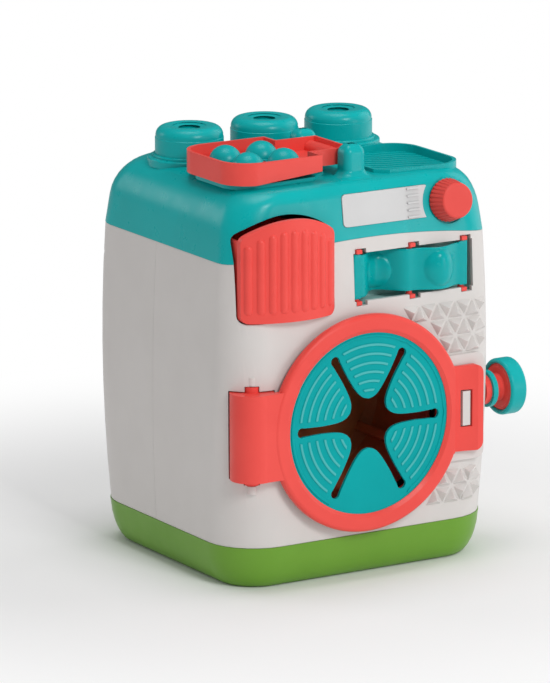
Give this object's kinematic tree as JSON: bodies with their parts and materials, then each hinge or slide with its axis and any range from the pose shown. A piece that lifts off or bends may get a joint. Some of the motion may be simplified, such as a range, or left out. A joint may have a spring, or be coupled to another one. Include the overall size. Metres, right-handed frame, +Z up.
{
  "type": "toy washing machine",
  "caption": "Toy washing machine with a cranked drum, hinged door with star-cut membrane, soap drawer, fluted dial, sliding wave band, studs and a flip tray of popping domes.",
  "frame": {"origin": "middle of the resting face, under the centre of the casing", "axes": "+Z up, the front with the door faces -Y, the crank is on the +X side"},
  "size_m": [0.2045, 0.1733, 0.2467],
  "materials": {
    "casing_white": "semi-gloss",
    "cover_teal": "semi-gloss",
    "base_green": "semi-gloss",
    "drawer_coral": "semi-gloss",
    "door_coral": "semi-gloss",
    "dial_coral": "satin",
    "crank_coral": "semi-gloss",
    "tray_coral": "semi-gloss",
    "pin_coral": "semi-gloss",
    "membrane_teal": "satin",
    "dome_teal": "satin",
    "band_teal": "satin",
    "grip_teal": "semi-gloss",
    "plate_white": "semi-gloss",
    "tray_pale": "satin",
    "drum_coral": "satin",
    "gear_natural": "satin",
    "inner_white": "satin",
    "steel": "brushed"
  },
  "bodies": {
    "casing": {"base_tray": "base_green", "front_shell": "casing_white", "rear_shell": "casing_white", "top_cover": "cover_teal", "display_plate": "plate_white", "drawer_guide": "inner_white", "window_tray": "tray_pale", "hinge_pin": "steel", "drum_bracket": "inner_white", "drum_bush": "gear_natural", "crank_bush": "gear_natural", "flap_pin": "steel", "case_screws": "steel", "bracket_screws": "steel"},
    "door": {"door_ring": "door_coral", "door_clamp_ring": "door_coral", "door_membrane": "membrane_teal"},
    "soap_drawer": {"drawer": "drawer_coral"},
    "dial": {"dial_knob": "dial_coral", "dial_retainer": "gear_natural"},
    "band": {"wave_band": "band_teal", "band_pin_left": "pin_coral", "band_pin_middle": "pin_coral", "band_pin_right": "pin_coral"},
    "drum_set": {"drum": "drum_coral", "crown_gear": "gear_natural", "drum_axle": "steel"},
    "crank": {"crank_shaft": "steel", "drive_pinion": "gear_natural", "crank_arm": "crank_coral", "grip_washer": "grip_teal", "grip_pin": "steel"},
    "grip": {"grip_core": "crank_coral", "grip_ring": "grip_teal"},
    "flap": {"flap_tray": "tray_coral", "dome_rims": "dome_teal"},
    "popper_1": {"dome_1": "dome_teal"},
    "popper_2": {"dome_2": "dome_teal"},
    "popper_3": {"dome_3": "dome_teal"},
    "popper_4": {"dome_4": "dome_teal"}
  },
  "joints": [
    {"name": "door_hinge", "type": "hinge", "parent": "casing", "child": "door", "pos_m": [-0.075, -0.0779, 0.091], "axis": [0, 0, -1], "range_deg": [0, 120]},
    {"name": "drawer_slide", "type": "slide", "parent": "casing", "child": "soap_drawer", "axis": [0, -1, 0], "range_m": [0, 0.055]},
    {"name": "dial_turn", "type": "hinge", "parent": "casing", "child": "dial", "pos_m": [0.0555, -0.07573, 0.2105], "axis": [0, -0.9903, 0.1386], "continuous": true},
    {"name": "band_shift", "type": "slide", "parent": "casing", "child": "band", "axis": [1, 0, 0], "range_m": [0, 0.003]},
    {"name": "drum_turn", "type": "hinge", "parent": "casing", "child": "drum_set", "pos_m": [-0.0045, -0.02, 0.091], "axis": [0, 1, 0], "continuous": true},
    {"name": "crank_turn", "type": "hinge", "parent": "casing", "child": "crank", "pos_m": [0.03, -0.0023, 0.091], "axis": [1, 0, 0], "continuous": true},
    {"name": "grip_spin", "type": "hinge", "parent": "crank", "child": "grip", "pos_m": [0.105, -0.0543, 0.091], "axis": [1, 0, 0], "continuous": true},
    {"name": "flap_hinge", "type": "hinge", "parent": "casing", "child": "flap", "pos_m": [0.003, -0.0315, 0.23575], "axis": [0, 1, 0], "range_deg": [0, 180]},
    {"name": "popper_1_press", "type": "slide", "parent": "flap", "child": "popper_1", "axis": [0, 0, -1], "range_m": [0, 0.0035]},
    {"name": "popper_2_press", "type": "slide", "parent": "flap", "child": "popper_2", "axis": [0, 0, -1], "range_m": [0, 0.0035]},
    {"name": "popper_3_press", "type": "slide", "parent": "flap", "child": "popper_3", "axis": [0, 0, -1], "range_m": [0, 0.0035]},
    {"name": "popper_4_press", "type": "slide", "parent": "flap", "child": "popper_4", "axis": [0, 0, -1], "range_m": [0, 0.0035]}
  ],
  "couplings": [
    {"joint": "crank_turn", "follows": "drum_turn", "ratio": 3.5}
  ]
}
